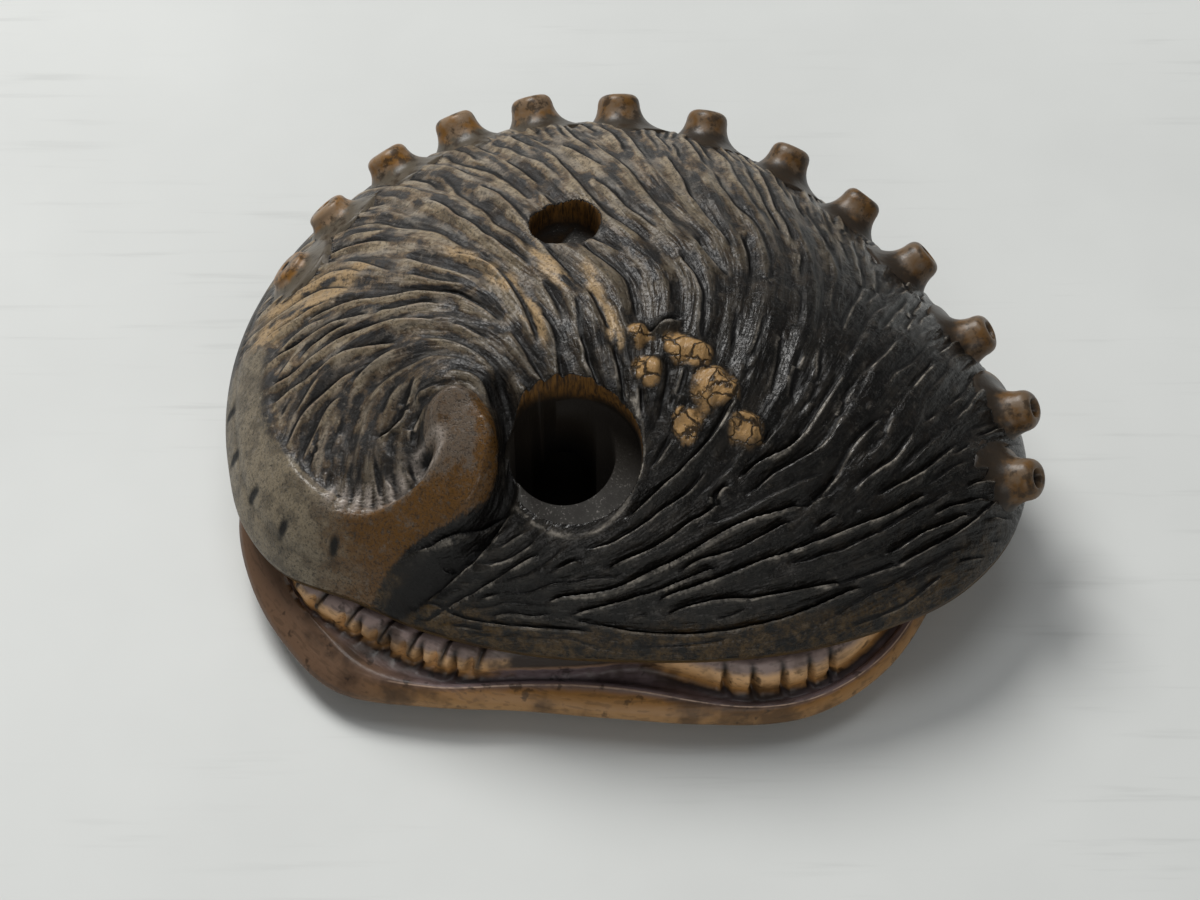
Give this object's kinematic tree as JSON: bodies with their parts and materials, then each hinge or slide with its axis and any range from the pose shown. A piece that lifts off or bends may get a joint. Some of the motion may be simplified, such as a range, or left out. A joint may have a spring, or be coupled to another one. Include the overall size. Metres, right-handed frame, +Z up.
{
  "type": "netsuke",
  "caption": "Toggle carved from one piece of dark stained wood as an abalone shell with its foot below, with two joined holes for a cord.",
  "frame": {"origin": "on the surface that it rests on, under the middle of its outline", "axes": "+X along the shell towards its open-pore end, +Y towards the side with the row of pores, +Z up"},
  "size_m": [0.048, 0.0424, 0.018],
  "materials": {
    "stained_wood": "stained nearly black, worn to warm brown on ridges and rims, satin"
  },
  "bodies": {
    "root": {"netsuke": "stained_wood"}
  },
  "joints": []
}
